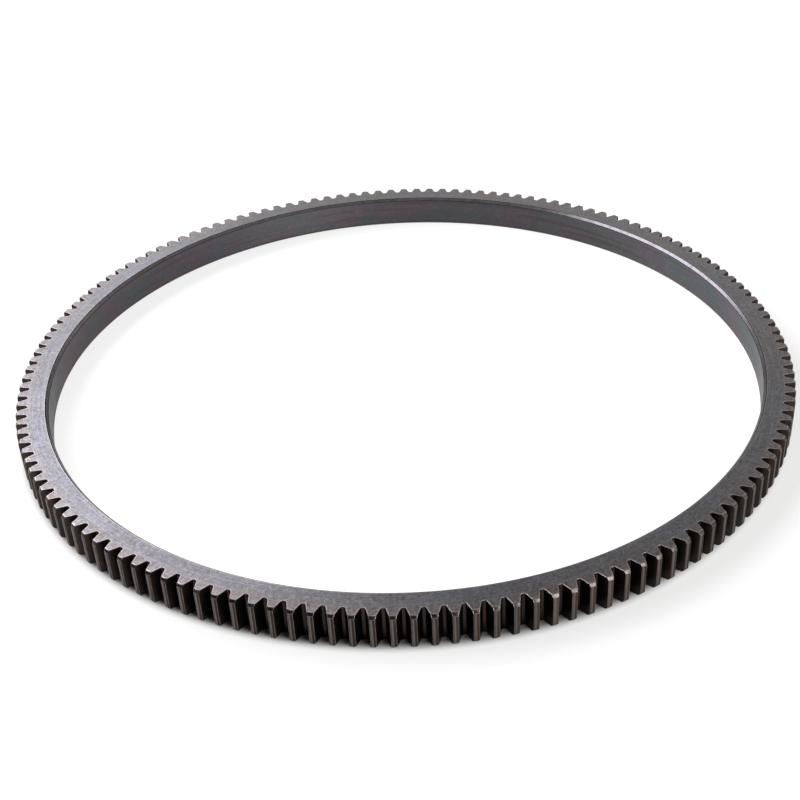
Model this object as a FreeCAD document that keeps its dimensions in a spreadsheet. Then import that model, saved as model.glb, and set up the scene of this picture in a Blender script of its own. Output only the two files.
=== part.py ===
import FreeCAD, Part
import math
import os
import Sketcher

# Flywheel ring gear: a plain rectangular steel ring with straight spur teeth cut all round its outside,
# made to be shrunk on to the rim of a flywheel. The whole gear is one piece of steel.
# Millimetres. The axis of the ring is +Z and the lower face stands on Z = 0.

# Driving sizes: name, value, what it sizes
SIZES = (
    ("tooth_count", 148, "teeth round the ring"),
    ("bore_radius", 207, "radius of the seat shrunk on to the flywheel"),
    ("rim_thickness", 11.6, "metal between the bore and the bottom of the tooth spaces"),
    ("dedendum", 3.4, "depth of the tooth spaces below the pitch circle"),
    ("addendum", 3, "height of the teeth above the pitch circle"),
    ("pressure_angle", 20, "slope of the tooth flank at the pitch circle, degrees"),
    ("space_width", 4.6, "width of a tooth space on the pitch circle"),
    ("root_break", 0.52, "break at each corner of the root, measured along the flank and the root"),
    ("face_width", 20, "height of the ring along its axis"),
    ("bore_chamfer", 1.8, "break of both bore edges"),
    ("tip_chamfer_radial", 1.2, "tip chamfer measured across the face"),
    ("tip_chamfer_axial", 1.6, "tip chamfer measured along the axis"),
    ("lead_cut_height", 1.6, "engagement cut measured up the tooth"),
    ("lead_cut_depth", 1.3, "engagement cut measured into the tooth"),
    ("lead_cut_margin", 0.3, "flank left whole between the root break and the engagement cut"),
    ("lead_cut_length", 9, "length of the engagement cutter along the flank"),
    ("cutter_run_out", 2, "how far the cutting outline passes the tips"),
)

NODE = "ring_gear"
# Share of the engagement wedge that passes the edges it cuts
WEDGE_OVERLAP = 0.4

# Circles of the ring, each a step outwards from the bore, as formulas of the table
ROOT_RADIUS = "(sizes.bore_radius + sizes.rim_thickness)"
PITCH_RADIUS = f"({ROOT_RADIUS} + sizes.dedendum)"
OUTER_RADIUS = f"({PITCH_RADIUS} + sizes.addendum)"

value = {name: size for name, size, meaning in SIZES}

doc = FreeCAD.newDocument("flywheel_ring_gear")

sheet = doc.addObject("Spreadsheet::Sheet", "sizes")
for row, (name, size, meaning) in enumerate(SIZES, start=1):
    sheet.set(f"A{row}", meaning)
    sheet.set(f"B{row}", str(size))
    sheet.setAlias(f"B{row}", name)
doc.recompute()

body = doc.addObject("PartDesign::Body", NODE)
body.Label = NODE


def origin_feature(role):
    """Return the plane or axis of the body's own origin that has this role."""
    return next(item for item in body.Origin.OriginFeatures if item.Role == role)


def new_sketch(name, plane_role):
    """Return an empty sketch lying on one origin plane of the body."""
    sketch = body.newObject("Sketcher::SketchObject", name)
    sketch.AttachmentSupport = [(origin_feature(plane_role), "")]
    sketch.MapMode = "FlatFace"
    return sketch


def drive(sketch, constraint, name, formula):
    """Add a dimension to a sketch, name it and tie it to the table of sizes."""
    index = sketch.addConstraint(constraint)
    sketch.renameConstraint(index, name)
    sketch.setExpression(f"Constraints.{name}", formula)


def add_polygon(sketch, points):
    """Draw a closed polygon and join its corners; return the index of its first side."""
    first = sketch.GeometryCount
    count = len(points)
    for number in range(count):
        start = FreeCAD.Vector(*points[number], 0)
        end = FreeCAD.Vector(*points[(number + 1) % count], 0)
        sketch.addGeometry(Part.LineSegment(start, end), False)
    for number in range(count):
        following = first + (number + 1) % count
        sketch.addConstraint(Sketcher.Constraint("Coincident", first + number, 2, following, 1))
    return first


def drive_corner(sketch, side, name, across, up):
    """Place the first end of a side by its two distances from the sketch origin."""
    point = sketch.getPoint(side, 1)
    drive(sketch, Sketcher.Constraint("DistanceX", -1, 1, side, 1, point.x), name + "_across", across)
    drive(sketch, Sketcher.Constraint("DistanceY", -1, 1, side, 1, point.y), name + "_up", up)


def draw_outline(sketch, corners):
    """Draw a closed outline whose corners are all tied to the table of sizes."""
    first = add_polygon(sketch, [place for name, place, across, up in corners])
    for side, (name, place, across, up) in enumerate(corners, start=first):
        drive_corner(sketch, side, name, across, up)


# Blank: the half section of the ring, turned round the axis.
# The corners run from the foot of the bore chamfer outwards and back round the section.
bore = value["bore_radius"]
root = bore + value["rim_thickness"]
pitch = root + value["dedendum"]
outer = pitch + value["addendum"]
height = value["face_width"]
bore_break = value["bore_chamfer"]
tip_across = value["tip_chamfer_radial"]
tip_along = value["tip_chamfer_axial"]
section_corners = (
    ("lower_bore", (bore + bore_break, 0), "sizes.bore_radius + sizes.bore_chamfer", "0"),
    ("lower_tip", (outer - tip_across, 0), f"{OUTER_RADIUS} - sizes.tip_chamfer_radial", "0"),
    ("lower_land", (outer, tip_along), OUTER_RADIUS, "sizes.tip_chamfer_axial"),
    ("upper_land", (outer, height - tip_along), OUTER_RADIUS, "sizes.face_width - sizes.tip_chamfer_axial"),
    ("upper_tip", (outer - tip_across, height), f"{OUTER_RADIUS} - sizes.tip_chamfer_radial",
     "sizes.face_width"),
    ("upper_bore", (bore + bore_break, height), "sizes.bore_radius + sizes.bore_chamfer", "sizes.face_width"),
    ("upper_seat", (bore, height - bore_break), "sizes.bore_radius", "sizes.face_width - sizes.bore_chamfer"),
    ("lower_seat", (bore, bore_break), "sizes.bore_radius", "sizes.bore_chamfer"),
)
section = new_sketch("ring_section", "XZ_Plane")
draw_outline(section, section_corners)

blank = body.newObject("PartDesign::Revolution", "ring_blank")
blank.Profile = section
blank.ReferenceAxis = (section, ["V_Axis"])
blank.Angle = 360
doc.recompute()
blank_volume = blank.Shape.Volume

# Tooth space: the gap between two teeth, centred on +X.
# On so small a tooth of so large a ring the involute is almost straight, so each flank is the line that
# touches it at the pitch circle. A small break joins each flank to the flat root.
root_break = value["root_break"]
run_out = outer + value["cutter_run_out"]
half_space = value["space_width"] / 2 / pitch
lean = half_space + math.radians(value["pressure_angle"])
foot_out = root + root_break * math.cos(lean)
HALF_SPACE = f"(sizes.space_width / 2 / {PITCH_RADIUS} * 180 / pi)"
LEAN = f"({HALF_SPACE} + sizes.pressure_angle)"


def flank_aside(out):
    """Return how far the flank lies from the X axis, at one distance out along it."""
    return pitch * math.sin(half_space) + (out - pitch * math.cos(half_space)) * math.tan(lean)


def flank_aside_formula(out):
    """Return the same distance as a formula of the table of sizes."""
    pitch_out = f"{PITCH_RADIUS} * cos{HALF_SPACE}"
    pitch_aside = f"{PITCH_RADIUS} * sin{HALF_SPACE}"
    return f"{pitch_aside} + ({out} - {pitch_out}) * tan{LEAN}"


MOUTH_OUT = f"({OUTER_RADIUS} + sizes.cutter_run_out)"
FOOT_OUT = f"({ROOT_RADIUS} + sizes.root_break * cos{LEAN})"
half_outline = (
    ("mouth", run_out, flank_aside(run_out), MOUTH_OUT, flank_aside_formula(MOUTH_OUT)),
    ("foot", foot_out, flank_aside(foot_out), FOOT_OUT, flank_aside_formula(FOOT_OUT)),
    ("root", root, flank_aside(root) - root_break, ROOT_RADIUS,
     flank_aside_formula(ROOT_RADIUS) + " - sizes.root_break"),
)
upper_corners = [("upper_" + name, (out, aside), out_formula, aside_formula)
                 for name, out, aside, out_formula, aside_formula in half_outline]
lower_corners = [("lower_" + name, (out, -aside), out_formula, f"-({aside_formula})")
                 for name, out, aside, out_formula, aside_formula in reversed(half_outline)]
space = new_sketch("tooth_space", "XY_Plane")
draw_outline(space, upper_corners + lower_corners)

space_cut = body.newObject("PartDesign::Pocket", "tooth_space_cut")
space_cut.Profile = space
space_cut.Length = height
space_cut.setExpression("Length", "sizes.face_width")
space_cut.Reversed = True
doc.recompute()
space_volume = blank_volume - space_cut.Shape.Volume

# Engagement cut: a bevel on the lower end of one flank of each tooth, where the starter pinion slides in.
# Its wedge is drawn across the flank just outside the root break, and runs outwards along the flank.
depth = value["lead_cut_depth"]
rise = value["lead_cut_height"]
lead_out = foot_out + value["lead_cut_margin"] * math.cos(lean)
lead = new_sketch("lead_wedge", "YZ_Plane")
lead.AttachmentOffset = FreeCAD.Placement(
    FreeCAD.Vector(-flank_aside(lead_out), 0, lead_out),
    FreeCAD.Rotation(FreeCAD.Vector(0, 1, 0), -math.degrees(lean)))
wedge_corners = (
    ("deep", (-depth * (1 + WEDGE_OVERLAP), -rise * WEDGE_OVERLAP),
     f"-sizes.lead_cut_depth * {1 + WEDGE_OVERLAP}", f"-sizes.lead_cut_height * {WEDGE_OVERLAP}"),
    ("high", (depth * WEDGE_OVERLAP, rise * (1 + WEDGE_OVERLAP)),
     f"sizes.lead_cut_depth * {WEDGE_OVERLAP}", f"sizes.lead_cut_height * {1 + WEDGE_OVERLAP}"),
    ("low", (depth * WEDGE_OVERLAP, -rise * WEDGE_OVERLAP),
     f"sizes.lead_cut_depth * {WEDGE_OVERLAP}", f"-sizes.lead_cut_height * {WEDGE_OVERLAP}"),
)
draw_outline(lead, wedge_corners)

lead_cut = body.newObject("PartDesign::Pocket", "lead_cut")
lead_cut.Profile = lead
lead_cut.Length = value["lead_cut_length"]
lead_cut.setExpression("Length", "sizes.lead_cut_length")
lead_cut.Reversed = True
doc.recompute()
lead_volume = blank_volume - space_volume - lead_cut.Shape.Volume

# Both cuts are repeated once for every tooth.
teeth = body.newObject("PartDesign::PolarPattern", "teeth")
teeth.Originals = [space_cut, lead_cut]
teeth.Axis = (origin_feature("Z_Axis"), [""])
teeth.Angle = 360
teeth.Occurrences = value["tooth_count"]
teeth.setExpression("Occurrences", "sizes.tooth_count")
body.Tip = teeth
doc.recompute()

for item in doc.Objects:
    for problem in ("Invalid", "Error"):
        if problem in item.State:
            raise RuntimeError(f"{item.Name} is {item.State}")
for item in (blank, space_cut, lead_cut, teeth, body):
    if item.Shape.isNull() or not item.Shape.isValid():
        raise RuntimeError(f"{item.Name} has no valid shape")
if min(space_volume, lead_volume) <= 0:
    raise RuntimeError("a cut removes nothing")

print("blank", round(blank_volume), "tooth space", round(space_volume, 2), "lead cut", round(lead_volume, 3))
print("solids", len(body.Shape.Solids), "faces", len(body.Shape.Faces), "volume", round(body.Shape.Volume))

os.makedirs("parts", exist_ok=True)
body.Shape.exportStep(f"parts/{NODE}.step")
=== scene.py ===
"""Looks of a flywheel ring gear: one steel ring with straight teeth, lying on a white floor.

The ring is one closed surface, worked out tooth by tooth on a grid. It stands for the plain solid of the
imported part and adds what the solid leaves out: broken edges, round root corners, slightly crowned tip lands
and engagement cuts that differ from tooth to tooth. The frame is the part's own: +Z is the axis of the ring
and the lower face lies on Z = 0.
"""
import logging
import math
from dataclasses import dataclass
from enum import IntEnum

import bpy
import numpy as np
from mathutils import Matrix


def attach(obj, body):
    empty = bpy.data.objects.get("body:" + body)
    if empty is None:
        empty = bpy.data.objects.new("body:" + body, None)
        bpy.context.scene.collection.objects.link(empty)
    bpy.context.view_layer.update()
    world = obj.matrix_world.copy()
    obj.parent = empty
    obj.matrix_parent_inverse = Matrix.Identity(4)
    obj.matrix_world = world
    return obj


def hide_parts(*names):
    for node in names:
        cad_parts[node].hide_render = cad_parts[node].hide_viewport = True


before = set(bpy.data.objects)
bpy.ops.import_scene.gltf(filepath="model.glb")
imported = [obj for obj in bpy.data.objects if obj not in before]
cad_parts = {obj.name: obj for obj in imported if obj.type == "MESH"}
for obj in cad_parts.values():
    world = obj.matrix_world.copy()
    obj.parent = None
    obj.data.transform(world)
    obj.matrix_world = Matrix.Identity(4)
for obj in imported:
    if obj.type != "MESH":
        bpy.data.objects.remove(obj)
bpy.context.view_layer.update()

LOG = logging.getLogger("ring_gear")
MM = 0.001
Socket = bpy.types.NodeSocket
Tree = bpy.types.NodeTree

# Noise: its middle, how far from it most of its values lie, how far nearly all of them, and its make-up
NOISE_MIDDLE = 0.5
NOISE_REACH = 0.16
NOISE_SWING = 0.2
NOISE_DETAIL = 4.0
NOISE_ROUGHNESS = 0.6
# Places on the noise's fourth axis that keep roughness and relief apart from the patches
ROUGHNESS_SHIFT = 0.5
RELIEF_SHIFT = 2.5
# How far turned lines stray from circles, how much upright streaks are stretched, and the real size of the
# duller and shinier blotches of handled steel
TURNED_DRIFT = 0.03
UPRIGHT_SQUEEZE = 0.06
ROUGHNESS_BLOTCH_MM = 9.0
# Radii in millimetres between which the stains round the teeth grow to their full strength
TEETH_BEGIN = 214.5
TEETH_FULL = 219.5
# Point attribute that holds each tooth's tone
TOOTH_TONE = "tooth_tone"
# Leaves the height out of a place
LEVEL = (1, 1, 0)
# Turns the blur of turning lines from along them to across them
QUARTER_TURN = 0.25
# Sockets of a colour mix: its share, the colour underneath, the colour on top, and the result
MIX_SHARE, MIX_UNDER, MIX_OVER, MIX_RESULT = 0, 6, 7, 2
# Turn in degrees from which an edge is sharp, within one finish and between two
SHARP_WITHIN = 30.0
SHARP_BETWEEN = 6.0


def linear(code: str, alpha: float = 1.0) -> tuple[float, float, float, float]:
    """Turn a written colour into the linear values that a shader wants.

    Args:
        code: sRGB colour as six hex digits, with or without a leading #.
        alpha: fourth value of the result.

    Returns:
        Red, green and blue in linear light, then alpha.
    """
    channels = np.array([int(code.lstrip("#")[place:place + 2], 16) for place in (0, 2, 4)]) / 255
    low = channels / 12.92
    high = ((channels + 0.055) / 1.055) ** 2.4
    return (*np.where(channels <= 0.04045, low, high).tolist(), alpha)


def add_node(tree: Tree, kind: str, settings: dict | None = None,
             inputs: dict | None = None) -> bpy.types.Node:
    """Add one shader node with its settings, values and links.

    Args:
        tree: node tree that gets the node.
        kind: Blender's name of the node type.
        settings: values of the node's own properties, by name.
        inputs: what each input socket gets, by name or number: a value, or the output socket it is linked to.

    Returns:
        The new node.
    """
    node = tree.nodes.new(kind)
    for name, value in (settings or {}).items():
        setattr(node, name, value)
    for key, value in (inputs or {}).items():
        socket = node.inputs[key]
        if isinstance(value, Socket):
            tree.links.new(value, socket)
        else:
            socket.default_value = value
    return node


class Zone(IntEnum):
    """The differently finished areas of the ring, some of them with painted shade or highlights, in the order
    of its material slots.
    """

    FACE = 0
    BORE_EDGE = 1
    BORE_WALL = 2
    FLANK = 3
    LAND = 4
    TIP_EDGE = 5
    LEAD_CUT = 6
    WORN_EDGE = 7
    BORE_RIM = 8
    FACE_MARGIN = 9
    LAND_STRIP = 10


class Pattern(IntEnum):
    """How a patch of colour or relief is laid over a surface."""

    CLOUD = 0
    TURNED = 1
    UPRIGHT = 2


@dataclass(frozen=True)
class Patch:
    """Irregular patches of one colour over a finish.

    Attributes:
        colour: sRGB colour of the patches.
        size_mm: real distance from one patch to the next.
        cover: share of the surface that lies under them, from 0 to 1.
        soft: width of the fading edge, as a share of the noise's range.
        strength: how far a patch hides what is under it.
        pattern: how the patches lie.
        shift: moves the noise, so that two patches don't coincide.
        near_teeth: keeps the patches to the teeth and the metal next to them.
    """

    colour: str
    size_mm: float
    cover: float
    soft: float
    strength: float
    pattern: Pattern = Pattern.CLOUD
    shift: float = 0.0
    near_teeth: bool = False


@dataclass(frozen=True)
class Relief:
    """Fine relief of a surface.

    Attributes:
        size_mm: real distance from one ridge or grain to the next.
        height_mm: how high it stands.
        pattern: how it lies.
    """

    size_mm: float
    height_mm: float
    pattern: Pattern = Pattern.CLOUD


@dataclass(frozen=True)
class SteelFinish:
    """One finish of the carbon steel ring.

    Attributes:
        name: what the surface is and how it was made.
        colour: sRGB colour of the clean surface, seen straight on.
        metallic: share that reflects as bare metal; a thick oxide lowers it.
        roughness: blur of its reflections.
        roughness_spread: how far the roughness strays from place to place.
        tooth_spread: how far the lightness strays from tooth to tooth.
        grazing: how far it still brightens where it is seen at a slant; scale and dirt lower it.
        blur_upright: how far its turning lines blur reflections upwards and downwards only.
        patches: stains, scale and rubbed places, the lowest first.
        reliefs: grain, turning lines and streaks.
    """

    name: str
    colour: str
    metallic: float = 1.0
    roughness: float = 0.4
    roughness_spread: float = 0.08
    tooth_spread: float = 0.0
    grazing: float = 1.0
    blur_upright: float = 0.0
    patches: tuple[Patch, ...] = ()
    reliefs: tuple[Relief, ...] = ()

    @staticmethod
    def _coordinates(tree: Tree) -> tuple[dict[Pattern, Socket], Socket]:
        """Work out where a point of the surface lies, in the three ways that the patterns need.

        A cloud reads the place itself. Turned lines read the distance from the axis, and drift slowly with
        the place. Upright streaks read the place with its height pressed together.

        Args:
            tree: node tree of the material.

        Returns:
            For each pattern the socket of its coordinates, in metres, and the socket of a mask that is 0 on
            the plain face and 1 on the teeth.
        """
        place = add_node(tree, "ShaderNodeTexCoord").outputs["Object"]
        flat = add_node(tree, "ShaderNodeVectorMath", {"operation": "MULTIPLY"}, {0: place, 1: LEVEL})
        radius = add_node(tree, "ShaderNodeVectorMath", {"operation": "LENGTH"}, {0: flat.outputs[0]})
        along = add_node(tree, "ShaderNodeCombineXYZ", inputs={"X": radius.outputs["Value"]})
        drift = add_node(tree, "ShaderNodeVectorMath", {"operation": "MULTIPLY"},
                         {0: place, 1: (TURNED_DRIFT, TURNED_DRIFT, 1)})
        turned = add_node(tree, "ShaderNodeVectorMath", {"operation": "ADD"},
                          {0: along.outputs[0], 1: drift.outputs[0]})
        upright = add_node(tree, "ShaderNodeVectorMath", {"operation": "MULTIPLY"},
                           {0: place, 1: (1, 1, UPRIGHT_SQUEEZE)})
        toothed = add_node(tree, "ShaderNodeMapRange", {"interpolation_type": "SMOOTHSTEP"},
                           {"Value": radius.outputs["Value"], "From Min": TEETH_BEGIN * MM,
                            "From Max": TEETH_FULL * MM})
        where = {Pattern.CLOUD: place, Pattern.TURNED: turned.outputs[0],
                 Pattern.UPRIGHT: upright.outputs[0]}
        return where, toothed.outputs["Result"]

    @staticmethod
    def _noise(tree: Tree, where: Socket, size_mm: float, shift: float) -> Socket:
        """Add a noise whose features have a real size.

        Args:
            tree: node tree of the material.
            where: coordinates in metres.
            size_mm: distance from one feature to the next.
            shift: moves the noise along its fourth axis.

        Returns:
            The noise, about 0.2 to 0.8.
        """
        noise = add_node(tree, "ShaderNodeTexNoise", {"noise_dimensions": "4D"},
                         {"Vector": where, "W": shift, "Scale": 1 / (size_mm * MM),
                          "Detail": NOISE_DETAIL, "Roughness": NOISE_ROUGHNESS})
        return noise.outputs["Fac"]

    def _painted(self, tree: Tree, where: dict[Pattern, Socket], toothed: Socket) -> Socket:
        """Lay the patches over the base colour one after another, then vary it from tooth to tooth.

        Args:
            tree: node tree of the material.
            where: socket of the coordinates for each pattern.
            toothed: socket of the mask that is 1 on the teeth.

        Returns:
            The socket of the colour.
        """
        colour = linear(self.colour)
        for number, patch in enumerate(self.patches):
            noise = self._noise(tree, where[patch.pattern], patch.size_mm, patch.shift + number)
            middle = NOISE_MIDDLE + NOISE_REACH * (1 - 2 * patch.cover)
            mask = add_node(tree, "ShaderNodeMapRange", {"interpolation_type": "SMOOTHSTEP"},
                            {"Value": noise, "From Min": middle - patch.soft / 2,
                             "From Max": middle + patch.soft / 2, "To Max": patch.strength}).outputs["Result"]
            if patch.near_teeth:
                mask = add_node(tree, "ShaderNodeMath", {"operation": "MULTIPLY"},
                                {0: mask, 1: toothed}).outputs[0]
            colour = add_node(tree, "ShaderNodeMix", {"data_type": "RGBA"},
                              {MIX_SHARE: mask, MIX_UNDER: colour,
                               MIX_OVER: linear(patch.colour)}).outputs[MIX_RESULT]
        if self.tooth_spread:
            tone = add_node(tree, "ShaderNodeAttribute", {"attribute_name": TOOTH_TONE}).outputs["Fac"]
            gain = add_node(tree, "ShaderNodeMapRange",
                            inputs={"Value": tone, "To Min": 1 - self.tooth_spread,
                                    "To Max": 1 + self.tooth_spread})
            colour = add_node(tree, "ShaderNodeVectorMath", {"operation": "SCALE"},
                              {0: colour, "Scale": gain.outputs["Result"]}).outputs[0]
        return colour

    def _uneven(self, tree: Tree, where: dict[Pattern, Socket]) -> Socket:
        """Let the roughness stray from place to place.

        Args:
            tree: node tree of the material.
            where: socket of the coordinates for each pattern.

        Returns:
            The socket of the roughness.
        """
        blotch = self._noise(tree, where[Pattern.CLOUD], ROUGHNESS_BLOTCH_MM, ROUGHNESS_SHIFT)
        return add_node(tree, "ShaderNodeMapRange",
                        inputs={"Value": blotch, "From Min": NOISE_MIDDLE - NOISE_SWING,
                                "From Max": NOISE_MIDDLE + NOISE_SWING,
                                "To Min": self.roughness - self.roughness_spread,
                                "To Max": self.roughness + self.roughness_spread}).outputs["Result"]

    def _relieved(self, tree: Tree, where: dict[Pattern, Socket]) -> Socket | None:
        """Lay the reliefs over each other.

        Args:
            tree: node tree of the material.
            where: socket of the coordinates for each pattern.

        Returns:
            The socket of the normal, or None for a finish without relief.
        """
        normal = None
        for relief in self.reliefs:
            height = self._noise(tree, where[relief.pattern], relief.size_mm, RELIEF_SHIFT)
            inputs = {"Height": height, "Distance": relief.height_mm * MM}
            if normal is not None:
                inputs["Normal"] = normal
            normal = add_node(tree, "ShaderNodeBump", inputs=inputs).outputs[0]
        return normal

    def material(self) -> bpy.types.Material:
        """Build the material from its colour, its roughness and its relief.

        Returns:
            The material, under the name of the finish.
        """
        made = bpy.data.materials.new(self.name)
        made.use_nodes = True
        tree = made.node_tree
        tree.nodes.clear()
        where, toothed = self._coordinates(tree)
        inputs = {"Base Color": self._painted(tree, where, toothed), "Metallic": self.metallic,
                  "Roughness": self._uneven(tree, where),
                  "Specular Tint": (self.grazing, self.grazing, self.grazing, 1.0)}
        if self.blur_upright:
            round_axis = add_node(tree, "ShaderNodeTangent", {"direction_type": "RADIAL", "axis": "Z"})
            inputs |= {"Tangent": round_axis.outputs[0], "Anisotropic": self.blur_upright,
                       "Anisotropic Rotation": QUARTER_TURN}
        normal = self._relieved(tree, where)
        if normal is not None:
            inputs["Normal"] = normal
        surface = add_node(tree, "ShaderNodeBsdfPrincipled", inputs=inputs)
        add_node(tree, "ShaderNodeOutputMaterial", inputs={"Surface": surface.outputs[0]})
        return made


# Turned faces of hardened steel: a thin grey-lilac oxide, cloudy and speckled from handling, with fine
# turning lines that soften its reflections.
TURNED_FACE = SteelFinish(
    name="steel_turned_face", colour="#4C4A4C", roughness=0.29, roughness_spread=0.05,
    patches=(
        Patch(colour="#4A4D52", size_mm=34.0, cover=0.45, soft=0.12, strength=0.6),
        Patch(colour="#4C4A45", size_mm=9.0, cover=0.35, soft=0.10, strength=0.5),
        Patch(colour="#5B4F48", size_mm=5.0, cover=0.70, soft=0.25, strength=0.52, near_teeth=True),
        Patch(colour="#646367", size_mm=1.3, cover=0.35, soft=0.08, strength=0.55),
        Patch(colour="#3A3634", size_mm=1.6, cover=0.28, soft=0.08, strength=0.6, shift=7.0),
        Patch(colour="#646368", size_mm=0.8, cover=0.35, soft=0.10, strength=0.45, pattern=Pattern.TURNED,
              shift=2.0),
        Patch(colour="#2E2A28", size_mm=2.4, cover=0.04, soft=0.03, strength=0.8, shift=9.0),
    ),
    reliefs=(
        Relief(size_mm=0.9, height_mm=0.010, pattern=Pattern.TURNED),
        Relief(size_mm=1.4, height_mm=0.012),
    ),
)
# The chamfer of the bore was cut last, so it is the cleanest metal of the ring.
BORE_CHAMFER = SteelFinish(
    name="steel_bore_chamfer", colour="#565457", roughness=0.25, roughness_spread=0.04, grazing=0.85,
    patches=(
        Patch(colour="#453E3A", size_mm=6.0, cover=0.35, soft=0.12, strength=0.5),
        Patch(colour="#6A686B", size_mm=1.3, cover=0.25, soft=0.06, strength=0.4),
    ),
    reliefs=(
        Relief(size_mm=1.2, height_mm=0.006),
    ),
)
# Bore wall: darker oxide with straw, violet and teal clouds where the heat of hardening ran through.
BORE_SEAT = SteelFinish(
    name="steel_heat_tinted_bore", colour="#585659", roughness=0.41, roughness_spread=0.06, blur_upright=0.7,
    patches=(
        Patch(colour="#62505F", size_mm=26.0, cover=0.42, soft=0.20, strength=0.5),
        Patch(colour="#475C5A", size_mm=21.0, cover=0.38, soft=0.20, strength=0.5, shift=3.0),
        Patch(colour="#66595F", size_mm=4.0, cover=0.35, soft=0.14, strength=0.45, pattern=Pattern.TURNED,
              shift=5.0),
        Patch(colour="#4E453F", size_mm=2.5, cover=0.25, soft=0.12, strength=0.5, pattern=Pattern.TURNED,
              shift=8.0),
        Patch(colour="#6C6A6D", size_mm=2.2, cover=0.25, soft=0.10, strength=0.3),
    ),
    reliefs=(
        Relief(size_mm=1.6, height_mm=0.010),
    ),
)
# Flanks and roots: hobbed, then hardened, which leaves a black-brown scale.
HARDENED_FLANK = SteelFinish(
    name="steel_hardened_flank", colour="#3A3532", metallic=0.97, roughness=0.34, tooth_spread=0.15,
    grazing=0.5,
    patches=(
        Patch(colour="#4C3626", size_mm=1.6, cover=0.33, soft=0.12, strength=0.8, pattern=Pattern.UPRIGHT),
        Patch(colour="#30353C", size_mm=5.0, cover=0.30, soft=0.14, strength=0.6, shift=2.0),
    ),
    reliefs=(
        Relief(size_mm=0.9, height_mm=0.012, pattern=Pattern.UPRIGHT),
    ),
)
# Tip lands: turned before the teeth were cut, rubbed grey-brown along upright streaks.
TIP_LAND = SteelFinish(
    name="steel_tip_land", colour="#43382F", metallic=0.95, roughness=0.50, tooth_spread=0.12, grazing=0.8,
    blur_upright=0.8,
    patches=(
        Patch(colour="#544C47", size_mm=0.9, cover=0.30, soft=0.10, strength=0.5, pattern=Pattern.UPRIGHT),
        Patch(colour="#35291F", size_mm=1.7, cover=0.30, soft=0.10, strength=0.5, pattern=Pattern.UPRIGHT,
              shift=4.0),
        Patch(colour="#5A3C28", size_mm=4.0, cover=0.15, soft=0.08, strength=0.4, shift=6.0),
    ),
    reliefs=(
        Relief(size_mm=0.8, height_mm=0.012, pattern=Pattern.UPRIGHT),
    ),
)
# Chamfer of the tips: brown oxide, polished a little by handling.
TIP_CHAMFER = SteelFinish(
    name="steel_tip_chamfer", colour="#4E4743", roughness=0.29, tooth_spread=0.2, grazing=0.85,
    patches=(
        Patch(colour="#40342B", size_mm=2.0, cover=0.45, soft=0.12, strength=0.6),
        Patch(colour="#6A625D", size_mm=0.9, cover=0.25, soft=0.08, strength=0.6),
    ),
    reliefs=(
        Relief(size_mm=1.1, height_mm=0.008),
    ),
)
# Engagement cuts: milled after hardening, so a little greyer than the flank round them.
ENGAGEMENT_CUT = SteelFinish(
    name="steel_engagement_cut", colour="#403E3A", metallic=0.95, roughness=0.42, tooth_spread=0.15,
    patches=(
        Patch(colour="#33302B", size_mm=2.0, cover=0.45, soft=0.12, strength=0.6),
    ),
    reliefs=(
        Relief(size_mm=0.8, height_mm=0.010),
    ),
)
# Edges wherever two surfaces meet: partly rubbed bright, partly a painted highlight along them.
RUBBED_AND_HIGHLIT_EDGE = SteelFinish(
    name="steel_rubbed_and_highlit_edge", colour="#726E6D", roughness=0.36, tooth_spread=0.10,
    patches=(
        Patch(colour="#4E4743", size_mm=2.4, cover=0.40, soft=0.14, strength=0.8),
    ),
)
# Rim of the bore between face and chamfer, and the breaks between chamfers and wall: near-black painted shade
# along those edges, with a few lighter blotches.
PAINTED_SHADE_RIM = SteelFinish(
    name="steel_rim_painted_shade", colour="#1E1917", roughness=0.40, grazing=0.4,
    patches=(
        Patch(colour="#35302C", size_mm=3.0, cover=0.30, soft=0.12, strength=0.5),
    ),
)
# Margin of the faces, right along the edges: a little brighter than the oxide, partly rubbed metal, partly a
# painted highlight.
RUBBED_AND_HIGHLIT_MARGIN = SteelFinish(
    name="steel_rubbed_and_highlit_margin", colour="#726E70", roughness=0.30,
    patches=(
        Patch(colour="#5C4C40", size_mm=2.0, cover=0.35, soft=0.14, strength=0.6),
        Patch(colour="#86838A", size_mm=1.1, cover=0.25, soft=0.10, strength=0.5),
    ),
)
# Strip of the tip lands beside the driven flank: partly worn cleaner by the starter pinion, partly a painted
# highlight that lightens it.
RUBBED_AND_HIGHLIT_STRIP = SteelFinish(
    name="steel_rubbed_and_highlit_strip", colour="#6B6664", roughness=0.36, tooth_spread=0.15, grazing=0.9,
    patches=(
        Patch(colour="#544B45", size_mm=1.2, cover=0.25, soft=0.12, strength=0.45, pattern=Pattern.UPRIGHT),
    ),
    reliefs=(
        Relief(size_mm=0.8, height_mm=0.006, pattern=Pattern.UPRIGHT),
    ),
)
FINISHES = {
    Zone.FACE: TURNED_FACE,
    Zone.BORE_EDGE: BORE_CHAMFER,
    Zone.BORE_WALL: BORE_SEAT,
    Zone.FLANK: HARDENED_FLANK,
    Zone.LAND: TIP_LAND,
    Zone.TIP_EDGE: TIP_CHAMFER,
    Zone.LEAD_CUT: ENGAGEMENT_CUT,
    Zone.WORN_EDGE: RUBBED_AND_HIGHLIT_EDGE,
    Zone.BORE_RIM: PAINTED_SHADE_RIM,
    Zone.FACE_MARGIN: RUBBED_AND_HIGHLIT_MARGIN,
    Zone.LAND_STRIP: RUBBED_AND_HIGHLIT_STRIP,
}


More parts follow.
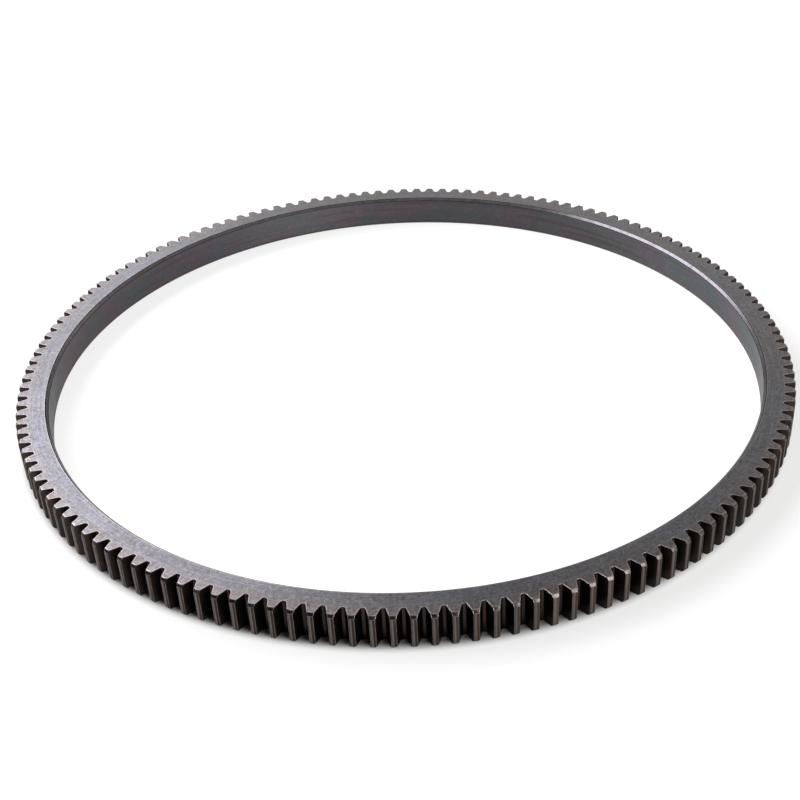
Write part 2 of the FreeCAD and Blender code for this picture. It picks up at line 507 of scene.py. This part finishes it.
@dataclass
class RingGear:
    """The ring gear as one closed surface, a grid that runs round the ring and round its section.

    All sizes are in millimetres and degrees.

    Attributes:
        tooth_count: teeth round the ring.
        pitch_radius: radius of the pitch circle.
        pressure_angle: slope of the flank at the pitch circle.
        outer_radius: radius over the tips.
        root_radius: radius at the bottom of the spaces.
        space_width: width of a space on the pitch circle.
        root_fillet: rounding of the corners of the root.
        bore_radius: radius of the seat.
        face_width: height of the ring.
        bore_chamfer: break of both bore edges.
        tip_chamfer_radial: tip chamfer across the face.
        tip_chamfer_axial: tip chamfer along the axis.
        edge_break: small break of every other edge.
        margin: width of the margin of the faces, partly rubbed, partly painted with a highlight.
        rim_width: width of the rim between the faces and the chamfers of the bore, painted dark as shade.
        rim_fall: how far that rim falls below the face.
        land_shares: where the lines along a tip land lie, as shares of its width from the driven flank.
        land_falls: how far the land falls at its driven edge, at those lines and at its other edge.
        lead_depth: mean depth of the engagement cut.
        lead_height: mean height of the engagement cut.
        lead_margin: flank left whole between the root and the engagement cut.
        lead_spread: how far the cut strays from tooth to tooth, as a share.
        seed: start of the random numbers.
        fillet_steps: faces of the rounding of the root.
        levels: heights of the rows up a tooth, between the two tip chamfers.
    """

    tooth_count: int = 148
    pitch_radius: float = 222.0
    pressure_angle: float = 20.0
    outer_radius: float = 225.0
    root_radius: float = 218.6
    space_width: float = 4.6
    root_fillet: float = 0.75
    bore_radius: float = 207.0
    face_width: float = 20.0
    bore_chamfer: float = 1.8
    tip_chamfer_radial: float = 1.2
    tip_chamfer_axial: float = 1.6
    edge_break: float = 0.18
    margin: float = 0.32
    rim_width: float = 0.42
    rim_fall: float = 0.17
    land_shares: tuple[float, ...] = (0.12, 0.52)
    land_falls: tuple[float, ...] = (0.22, 0.18, 0.0, 0.05)
    lead_depth: float = 1.25
    lead_height: float = 1.6
    lead_margin: float = 0.4
    lead_spread: float = 0.2
    seed: int = 7
    fillet_steps: int = 3
    levels: tuple[float, ...] = (2.4, 10.0)

    def __post_init__(self) -> None:
        """Give every tooth its own engagement cut and tone."""
        spread = np.random.default_rng(self.seed).uniform(-1, 1, (2, self.tooth_count))
        self.cuts = 1 + self.lead_spread * spread[0]
        self.tones = (spread[1] + 1) / 2

    def _cap_radius(self, level: float) -> float:
        """Work out the radius over the tips at one height: the outer circle, or the cone of a tip chamfer.

        Args:
            level: height above the lower face.

        Returns:
            The radius.
        """
        from_face = min(level, self.face_width - level)
        short = max(0.0, 1 - from_face / self.tip_chamfer_axial)
        return self.outer_radius - self.tip_chamfer_radial * short

    def _half_tooth(self, cap: float, cut: np.ndarray, fall: float) -> tuple[np.ndarray, np.ndarray]:
        """Work out the outline from the root to the tip corner, on the +Y side of a space centred on +X.

        The root is a straight line square to +X. An arc of the fillet radius touches it and the flank, which
        is the straight line that touches the involute at the pitch circle. Beyond a short margin outside the
        arc, the engagement cut moves the flank into the metal by the cut depth.

        Args:
            cap: radius over the tips at this height.
            cut: depth of the engagement cut, for each tooth.
            fall: how far the land lies below the cap at this edge.

        Returns:
            The X and the Y of the points, each an array of teeth by points.
        """
        half_space = self.space_width / 2 / self.pitch_radius
        lean = half_space + math.radians(self.pressure_angle)
        up = np.array([math.cos(lean), math.sin(lean)])
        into = np.array([-math.sin(lean), math.cos(lean)])
        on_pitch = self.pitch_radius * np.array([math.cos(half_space), math.sin(half_space)])
        corner = on_pitch - up * (on_pitch[0] - self.root_radius) / up[0]
        touch = self.root_fillet * math.tan((math.pi / 2 - lean) / 2)
        centre = corner + np.array([self.root_fillet, -touch])
        turns = np.linspace(math.pi, math.pi / 2 + lean, self.fillet_steps + 1)
        arc = centre[:, None] + self.root_fillet * np.array([np.cos(turns), np.sin(turns)])
        foot = arc[:, -1]

        ahead = foot @ up
        reach = math.sqrt(ahead ** 2 - foot @ foot + cap ** 2) - ahead
        parting = foot + self.lead_margin * up + cut[:, None] * into
        tip = foot + reach * up + cut[:, None] * into
        tip *= cap / np.linalg.norm(tip, axis=1, keepdims=True)
        back = parting - tip
        below = tip + back * self.edge_break / np.linalg.norm(back, axis=1, keepdims=True)
        spin = self.edge_break / cap
        turn = np.array([[math.cos(spin), math.sin(spin)], [-math.sin(spin), math.cos(spin)]])
        beside = (tip @ turn) * (1 - fall / cap)
        fixed = np.repeat(arc[None], self.tooth_count, axis=0)
        points = np.concatenate([fixed, parting[:, :, None], below[:, :, None], beside[:, :, None]], axis=2)
        return points[:, 0], points[:, 1]

    def _outline(self, level: float) -> tuple[np.ndarray, np.ndarray]:
        """Work out the closed outline of the teeth at one height.

        Each tooth starts at the root of the space before it, climbs the plain flank, crosses the crowned land
        and goes down the flank that carries the engagement cut, which is drawn in the same way and mirrored
        into the next space.

        Args:
            level: height above the lower face.

        Returns:
            Angle and radius of the points, each an array of teeth by points.
        """
        cap = self._cap_radius(level)
        left = np.clip(1 - level / (self.lead_height * self.cuts), 0, 1)
        pitch_angle = 2 * math.pi / self.tooth_count
        places = np.arange(self.tooth_count)[:, None] * pitch_angle
        plain_x, plain_y = self._half_tooth(cap, np.zeros(self.tooth_count), self.land_falls[0])
        cut_x, cut_y = self._half_tooth(cap, self.lead_depth * self.cuts * left, self.land_falls[-1])
        first_angle = np.arctan2(plain_y, plain_x) + places
        first_radius = np.hypot(plain_x, plain_y)
        last_angle = (pitch_angle - np.arctan2(cut_y, cut_x) + places)[:, ::-1]
        last_radius = np.hypot(cut_x, cut_y)[:, ::-1]
        share = np.array(self.land_shares)
        land_angle = first_angle[:, -1:] + share * (last_angle[:, :1] - first_angle[:, -1:])
        land_radius = np.tile(cap - np.array(self.land_falls[1:-1]), (self.tooth_count, 1))
        return (np.concatenate([first_angle, land_angle, last_angle], axis=1),
                np.concatenate([first_radius, land_radius, last_radius], axis=1))

    @staticmethod
    def _inset(angle: np.ndarray, radius: np.ndarray, amount: float) -> tuple[np.ndarray, np.ndarray]:
        """Shrink a closed outline by one amount, each corner along the mitre of its two sides.

        Args:
            angle: angles of the outline, in order round the ring.
            radius: radii of the outline.
            amount: how far every side moves inwards.

        Returns:
            Angle and radius of the shrunk outline.
        """
        place = np.stack([(radius * np.cos(angle)).ravel(), (radius * np.sin(angle)).ravel()], axis=1)
        side = np.roll(place, -1, axis=0) - place
        side /= np.linalg.norm(side, axis=1, keepdims=True)
        outwards = np.stack([side[:, 1], -side[:, 0]], axis=1)
        before = np.roll(outwards, 1, axis=0)
        mitre = (outwards + before) / (1 + (outwards * before).sum(1, keepdims=True))
        moved = (place - amount * mitre).reshape(*angle.shape, 2)
        turned = np.arctan2(moved[..., 1], moved[..., 0])
        nearest = angle + (turned - angle + math.pi) % (2 * math.pi) - math.pi
        return nearest, np.hypot(moved[..., 0], moved[..., 1])

    def _rows(self) -> tuple[np.ndarray, list[str]]:
        """Lay out the grid: one row for each line round the ring, from the lower face out, up and back in.

        Returns:
            Points as an array of rows by teeth by columns by XYZ, and what the strip after each row is.
        """
        small = self.edge_break
        top = self.face_width
        low = self.tip_chamfer_axial
        climb = [(small, "tip"), (low - small, "edge"), (low + small, "side")]
        climb += [(level, "side") for level in self.levels]
        climb += [(top - low - small, "edge"), (top - low + small, "tip"), (top - small, "rim")]
        rows, kinds = [], []

        def add(angle: np.ndarray, radius: np.ndarray, level: float, kind: str) -> None:
            """Add one row of points and name the strip that follows it."""
            height = np.full_like(angle, level)
            rows.append(np.stack([radius * np.cos(angle), radius * np.sin(angle), height], -1))
            kinds.append(kind)

        add(*self._inset(*self._outline(0.0), small + self.margin), 0.0, "margin")
        add(*self._inset(*self._outline(0.0), small), 0.0, "rim")
        for level, kind in climb:
            add(*self._outline(level), level, kind)
        add(*self._inset(*self._outline(top), small), top, "margin")
        add(*self._inset(*self._outline(top), small + self.margin), top, "face")

        # The bore has as many points as the teeth, spaced evenly, each in the middle of its step.
        columns = rows[0].shape[1]
        steps = (np.arange(self.tooth_count * columns) + 0.5).reshape(self.tooth_count, columns)
        even = steps * 2 * math.pi / steps.size
        mouth = self.bore_radius + self.bore_chamfer
        deep = self.bore_chamfer
        wide = self.rim_width
        fall = self.rim_fall
        slant = small / math.sqrt(2)
        # The bore_rim strips, at the mouth and at the breaks between chamfers and wall, take the rim's
        # painted shade.
        for radius, level, kind in (
                (mouth + self.margin, top, "margin"), (mouth, top, "bore_rim"),
                (mouth - wide, top - fall, "bore_edge"),
                (self.bore_radius + slant, top - deep + slant, "bore_rim"),
                (self.bore_radius, top - deep - small, "wall"),
                (self.bore_radius, deep + small, "bore_rim"),
                (self.bore_radius + slant, deep - slant, "bore_edge"),
                (mouth - wide, fall, "bore_rim"), (mouth, 0.0, "margin"), (mouth + self.margin, 0.0, "face")):
            add(even, np.full_like(even, radius), level, kind)
        return np.array(rows), kinds

    def _zones(self, kinds: list[str], columns: int) -> np.ndarray:
        """Name the finish of every face of one tooth.

        Args:
            kinds: what each strip round the ring is.
            columns: faces round one tooth.

        Returns:
            Zone numbers, an array of strips by columns.
        """
        # Up to the land lie the rounding, the whole margin, the flank and the break of the tip edge.
        half = self.fillet_steps + 3
        land_steps = len(self.land_shares) + 1
        land = slice(half, half + land_steps)
        tip_breaks = [half - 1, half + land_steps]
        lead_column = half + land_steps + 1
        whole = {"rim": Zone.WORN_EDGE, "face": Zone.FACE, "margin": Zone.FACE_MARGIN,
                 "bore_rim": Zone.BORE_RIM, "bore_edge": Zone.BORE_EDGE, "wall": Zone.BORE_WALL}
        on_land = {"tip": Zone.TIP_EDGE, "edge": Zone.WORN_EDGE, "side": Zone.LAND}
        zones = np.full((len(kinds), columns), int(Zone.FLANK))
        for strip, kind in enumerate(kinds):
            if kind in whole:
                zones[strip] = whole[kind]
                continue
            zones[strip, land] = on_land[kind]
            zones[strip, tip_breaks] = Zone.WORN_EDGE
            if kind == "side":
                zones[strip, half + 1] = Zone.LAND_STRIP
        zones[kinds.index("tip"), lead_column] = Zone.LEAD_CUT
        return zones

    def build(self) -> bpy.types.Object:
        """Build the mesh, give its faces their finishes and mark the edges that stay sharp.

        Returns:
            The finished ring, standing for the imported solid.
        """
        points, kinds = self._rows()
        strips, teeth, columns = points.shape[:3]
        round_count = teeth * columns
        corners = np.arange(strips * round_count).reshape(strips, round_count)
        beside = np.roll(corners, -1, axis=1)
        above = np.roll(corners, -1, axis=0)
        across = np.roll(beside, -1, axis=0)
        quads = np.stack([corners, beside, across, above], axis=-1).reshape(-1, 4)
        zones = np.tile(self._zones(kinds, columns)[:, None, :], (1, teeth, 1)).ravel()

        mesh = bpy.data.meshes.new("ring_gear_dressed")
        mesh.from_pydata(points.reshape(-1, 3) * MM, [], quads)
        for zone in Zone:
            mesh.materials.append(FINISHES[zone].material())
        mesh.polygons.foreach_set("material_index", zones.astype(np.int32))
        mesh.polygons.foreach_set("use_smooth", np.ones(len(quads), bool))
        tone = mesh.attributes.new(TOOTH_TONE, "FLOAT", "POINT")
        spread = np.broadcast_to(self.tones[None, :, None], (strips, teeth, columns))
        tone.data.foreach_set("value", spread.ravel().astype(np.float32))
        mesh.update()
        self._mark_sharp(mesh, zones)
        ring = bpy.data.objects.new("ring_gear_dressed", mesh)
        bpy.context.scene.collection.objects.link(ring)
        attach(ring, "root")
        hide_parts("ring_gear")
        return ring

    @staticmethod
    def _mark_sharp(mesh: bpy.types.Mesh, zones: np.ndarray) -> None:
        """Mark an edge sharp where it turns a lot, or where it turns a little between two finishes.

        Args:
            mesh: the ring's mesh, all of quads.
            zones: zone number of each face.
        """
        face_normals = np.empty(len(mesh.polygons) * 3, np.float32)
        mesh.polygons.foreach_get("normal", face_normals)
        face_normals = face_normals.reshape(-1, 3)
        edge_of_loop = np.empty(len(mesh.loops), np.int32)
        mesh.loops.foreach_get("edge_index", edge_of_loop)
        faces = (np.argsort(edge_of_loop, kind="stable") // 4).reshape(-1, 2)
        turn = (face_normals[faces[:, 0]] * face_normals[faces[:, 1]]).sum(1)
        other_finish = zones[faces[:, 0]] != zones[faces[:, 1]]
        sharp = turn < math.cos(math.radians(SHARP_WITHIN))
        sharp |= other_finish & (turn < math.cos(math.radians(SHARP_BETWEEN)))
        mark = mesh.attributes.new("sharp_edge", "BOOLEAN", "EDGE")
        mark.data.foreach_set("value", sharp)


@dataclass(frozen=True)
class SoftLamp:
    """A rectangular soft lamp that faces the ring.

    Attributes:
        name: what the lamp is.
        azimuth: direction from the ring in degrees, 0 away from the camera and positive to its right.
        elevation: degrees above the floor.
        distance: metres from the middle of the ring.
        width: metres from side to side.
        height: metres from its lower to its upper edge.
        radiance: brightness of its surface, where 1 is white.
        colour: sRGB colour of its light.
    """

    name: str
    azimuth: float
    elevation: float
    distance: float
    width: float
    height: float
    radiance: float
    colour: str

    def hang(self) -> bpy.types.Object:
        """Hang the lamp, hidden from the camera.

        Returns:
            The lamp.
        """
        data = bpy.data.lights.new(self.name, "AREA")
        data.shape = "RECTANGLE"
        data.size, data.size_y = self.width, self.height
        data.energy = self.radiance * math.pi * self.width * self.height
        data.color = linear(self.colour)[:3]
        lamp = bpy.data.objects.new(self.name, data)
        bpy.context.scene.collection.objects.link(lamp)
        turn, lift = math.radians(self.azimuth), math.radians(self.elevation)
        back = np.array([math.sin(turn) * math.cos(lift), math.cos(turn) * math.cos(lift), math.sin(lift)])
        side = np.array([-math.cos(turn), math.sin(turn), 0.0])
        pose = np.eye(4)
        pose[:3, :3] = np.stack([side, np.cross(back, side), back], axis=1)
        pose[:3, 3] = back * self.distance
        lamp.matrix_world = Matrix(pose.tolist())
        lamp.visible_camera = False
        return lamp


# Cool lamps behind and beside the ring on the left light it most. A weak one behind and a warm card at the
# right soften the shadows, and a small lamp in front shows the teeth.
LAMPS = (
    SoftLamp("back_lamp", azimuth=-26.5, elevation=38.0, distance=3.0, width=1.3, height=1.5,
             radiance=4.4, colour="#F6F6FF"),
    SoftLamp("side_lamp", azimuth=-67.5, elevation=37.0, distance=2.95, width=3.4, height=1.9,
             radiance=8.3, colour="#F6F6FF"),
    SoftLamp("warm_card", azimuth=67.0, elevation=15.5, distance=2.5, width=2.8, height=1.2,
             radiance=0.6, colour="#FFE8D6"),
    SoftLamp("far_lamp", azimuth=5.0, elevation=27.0, distance=3.1, width=2.0, height=1.3,
             radiance=0.6, colour="#FFFAF6"),
    SoftLamp("fill_lamp", azimuth=139.0, elevation=25.0, distance=1.6, width=0.92, height=0.50,
             radiance=9.4, colour="#FAFAFF"),
)


@dataclass
class Studio:
    """White floor, pale surroundings and soft lamps.

    Attributes:
        floor_half: half the side of the floor, in metres.
        floor_colour: sRGB colour of the floor.
        floor_glow: light that the floor adds where it is seen, so that it shows white and keeps its shadows.
        inner_glow: the same inside the ring, as a share of white; being stronger than outside, it paints the
            ring's shadow inside lighter.
        floor_mirrored: light that it adds where it is mirrored.
        under_ring: radius of a circle that runs hidden under the ring, in metres.
        gap_painted_shade_full: radius up to which no such light comes out from under the ring, in metres, so
            that the floor in the gaps between the teeth and just past the tips shows a painted shadow.
        gap_painted_shade_end: radius from which all of it does.
        gap_painted_shade_lean: how far the centre of those circles leans to the front left, where that
            painted shadow is darkest.
        sky_seen: strength of the surroundings where they are seen or mirrored.
        sky_light: strength with which they light matt surfaces.
        flag_from: direction of one end of the black flag, in degrees, 0 away from the camera.
        flag_to: direction of its other end.
        flag_distance: metres from the middle of the ring to the flag.
        flag_height: height of the flag in metres.
        flag_panels: straight panels that make up the flag.
        flag_colour: sRGB colour of its felt.
    """

    floor_half: float = 4.0
    floor_colour: str = "#9C9A96"
    floor_glow: float = 0.69
    inner_glow: float = 0.78
    floor_mirrored: float = 0.52
    under_ring: float = 0.213
    gap_painted_shade_full: float = 0.219
    gap_painted_shade_end: float = 0.2268
    gap_painted_shade_lean: tuple[float, float] = (-0.0012, -0.0016)
    sky_seen: float = 1.0
    sky_light: float = 0.1
    flag_from: float = -94.0
    flag_to: float = -188.0
    flag_distance: float = 1.5
    flag_height: float = 1.0
    flag_panels: int = 6
    flag_colour: str = "#373431"

    @staticmethod
    def _by_use(tree: Tree, seen: float, mirrored: float, lighting: float) -> Socket:
        """Choose a strength by what the light is on its way to.

        Args:
            tree: node tree that gets the nodes.
            seen: strength for the camera.
            mirrored: strength for a mirror or a glass.
            lighting: strength for matt surfaces.

        Returns:
            The socket of the strength.
        """
        path = add_node(tree, "ShaderNodeLightPath").outputs
        shiny = add_node(tree, "ShaderNodeMath", {"operation": "MAXIMUM"},
                         {0: path["Is Glossy Ray"], 1: path["Is Transmission Ray"]})
        others = add_node(tree, "ShaderNodeMapRange",
                          inputs={"Value": shiny.outputs[0], "To Min": lighting, "To Max": mirrored})
        return add_node(tree, "ShaderNodeMapRange",
                        inputs={"Value": path["Is Camera Ray"], "To Min": others.outputs["Result"],
                                "To Max": seen}).outputs["Result"]

    def _floor_light(self, tree: Tree) -> Socket:
        """Work out the light that the floor adds: one strength inside the ring, one outside, none between.

        Outside, it grows from nothing in the gaps between the teeth to its full strength past the tips, which
        paints a shadow into the gaps, darkest at the front left. Inside, it is stronger, which paints the
        ring's shadow there lighter.

        Args:
            tree: node tree of the floor's material.

        Returns:
            The socket of the strength.
        """
        place = add_node(tree, "ShaderNodeTexCoord").outputs["Object"]
        leaning = add_node(tree, "ShaderNodeVectorMath", {"operation": "SUBTRACT"},
                           {0: place, 1: (*self.gap_painted_shade_lean, 0)})
        radius = add_node(tree, "ShaderNodeVectorMath", {"operation": "LENGTH"},
                          {0: leaning.outputs[0]}).outputs["Value"]
        # Painted shadow in the gaps between the teeth: the glow fades out towards them.
        outside = add_node(tree, "ShaderNodeMapRange", {"interpolation_type": "SMOOTHSTEP"},
                           {"Value": radius, "From Min": self.gap_painted_shade_full, "From Max": self.gap_painted_shade_end})
        inside = add_node(tree, "ShaderNodeMath", {"operation": "LESS_THAN"}, {0: radius, 1: self.under_ring})
        outer_now = self._by_use(tree, self.floor_glow, self.floor_mirrored, 0.0)
        inner_now = self._by_use(tree, self.inner_glow, self.floor_mirrored, 0.0)
        outer = add_node(tree, "ShaderNodeMath", {"operation": "MULTIPLY"},
                         {0: outer_now, 1: outside.outputs["Result"]})
        return add_node(tree, "ShaderNodeMath", {"operation": "MULTIPLY_ADD"},
                        {0: inner_now, 1: inside.outputs[0], 2: outer.outputs[0]}).outputs[0]

    def floor(self) -> bpy.types.Object:
        """Lay the floor just under the ring.

        Returns:
            The floor.
        """
        half = self.floor_half
        mesh = bpy.data.meshes.new("floor")
        corners = [(-half, -half, 0), (half, -half, 0), (half, half, 0), (-half, half, 0)]
        mesh.from_pydata(corners, [], [(0, 1, 2, 3)])
        matt = bpy.data.materials.new("white_paper_floor")
        matt.use_nodes = True
        tree = matt.node_tree
        tree.nodes.clear()
        body = add_node(tree, "ShaderNodeBsdfDiffuse", inputs={"Color": linear(self.floor_colour)})
        glow = add_node(tree, "ShaderNodeEmission", inputs={"Strength": self._floor_light(tree)})
        both = add_node(tree, "ShaderNodeAddShader", inputs={0: body.outputs[0], 1: glow.outputs[0]})
        add_node(tree, "ShaderNodeOutputMaterial", inputs={"Surface": both.outputs[0]})
        mesh.materials.append(matt)
        floor = bpy.data.objects.new("floor", mesh)
        bpy.context.scene.collection.objects.link(floor)
        return floor

    def surroundings(self) -> None:
        """Make the surroundings white where they are seen and soft where they light."""
        world = bpy.data.worlds.new("white_studio")
        world.use_nodes = True
        tree = world.node_tree
        tree.nodes.clear()
        strength = self._by_use(tree, self.sky_seen, self.sky_seen, self.sky_light)
        sky = add_node(tree, "ShaderNodeBackground", inputs={"Strength": strength})
        add_node(tree, "ShaderNodeOutputWorld", inputs={"Surface": sky.outputs[0]})
        bpy.context.scene.world = world

    def flag(self) -> bpy.types.Object:
        """Stand a dark flag behind the camera on the left, where the room is dark.

        Returns:
            The flag, seen in reflections only.
        """
        near, far = math.radians(self.flag_from), math.radians(self.flag_to)
        turns = np.linspace(near, far, self.flag_panels + 1)
        foot = np.stack([np.sin(turns), np.cos(turns), np.zeros_like(turns)], axis=1) * self.flag_distance
        head = foot + np.array([0, 0, self.flag_height])
        first = np.arange(self.flag_panels)
        count = self.flag_panels + 1
        panels = np.stack([first, first + 1, first + 1 + count, first + count], axis=1)
        mesh = bpy.data.meshes.new("black_flag")
        mesh.from_pydata(np.concatenate([foot, head]).tolist(), [], panels.tolist())
        cloth = bpy.data.materials.new("black_felt")
        cloth.use_nodes = True
        tree = cloth.node_tree
        tree.nodes.clear()
        felt = add_node(tree, "ShaderNodeBsdfDiffuse", inputs={"Color": linear(self.flag_colour)})
        add_node(tree, "ShaderNodeOutputMaterial", inputs={"Surface": felt.outputs[0]})
        mesh.materials.append(cloth)
        flag = bpy.data.objects.new("black_flag", mesh)
        bpy.context.scene.collection.objects.link(flag)
        flag.visible_camera = False
        flag.visible_shadow = False
        return flag


@dataclass
class Camera:
    """The camera, at the viewing angle of the photograph.

    Attributes:
        lens: focal length in millimetres.
        sensor: width of the sensor in millimetres.
        near: distance in metres from which things are drawn.
        far: distance in metres up to which things are drawn.
        elevation: degrees above the floor.
        roll: degrees that the view is turned about its own axis.
        distance: metres from the aim point.
        aim: point of the floor that lies on the axis of the lens.
        turn: degrees that camera and aim point are turned about the axis of the ring.
        shift: sideways shift of the lens, as a share of the sensor.
    """

    lens: float = 59.70
    sensor: float = 36.0
    near: float = 0.01
    far: float = 50.0
    elevation: float = 34.334
    roll: float = -1.353
    distance: float = 0.77847
    aim: tuple[float, float, float] = (0.03081, -0.02247, 0.0)
    turn: float = -0.636
    shift: float = -0.0759

    def place(self) -> bpy.types.Object:
        """Create the camera, turn it to the ring and make it the scene's camera.

        Returns:
            The camera.
        """
        lift, roll = math.radians(self.elevation), math.radians(self.roll)
        forward = np.array([0.0, math.cos(lift), -math.sin(lift)])
        right = np.array([1.0, 0.0, 0.0])
        up = np.cross(right, forward)
        pose = np.eye(4)
        pose[:3, 0] = math.cos(roll) * right + math.sin(roll) * up
        pose[:3, 1] = math.cos(roll) * up - math.sin(roll) * right
        pose[:3, 2] = -forward
        pose[:3, 3] = np.array(self.aim) - self.distance * forward
        data = bpy.data.cameras.new("photo_camera")
        data.lens = self.lens
        data.sensor_width = self.sensor
        data.shift_x = self.shift
        data.clip_start, data.clip_end = self.near, self.far
        camera = bpy.data.objects.new("photo_camera", data)
        bpy.context.scene.collection.objects.link(camera)
        camera.matrix_world = Matrix.Rotation(math.radians(self.turn), 4, "Z") @ Matrix(pose.tolist())
        bpy.context.scene.camera = camera
        return camera


def main() -> None:
    """Build the ring and its studio in order."""
    logging.basicConfig(level=logging.INFO, format="%(message)s")
    bpy.context.scene.view_settings.view_transform = "Standard"
    Camera().place()
    ring = RingGear().build()
    LOG.info("%s: %d faces", ring.name, len(ring.data.polygons))
    studio = Studio()
    studio.floor()
    studio.surroundings()
    studio.flag()
    LOG.info("floor, surroundings and flag are in place")
    for lamp in LAMPS:
        LOG.info("%s hangs at %.1f degrees", lamp.hang().name, lamp.azimuth)


if __name__ == "__main__":
    main()
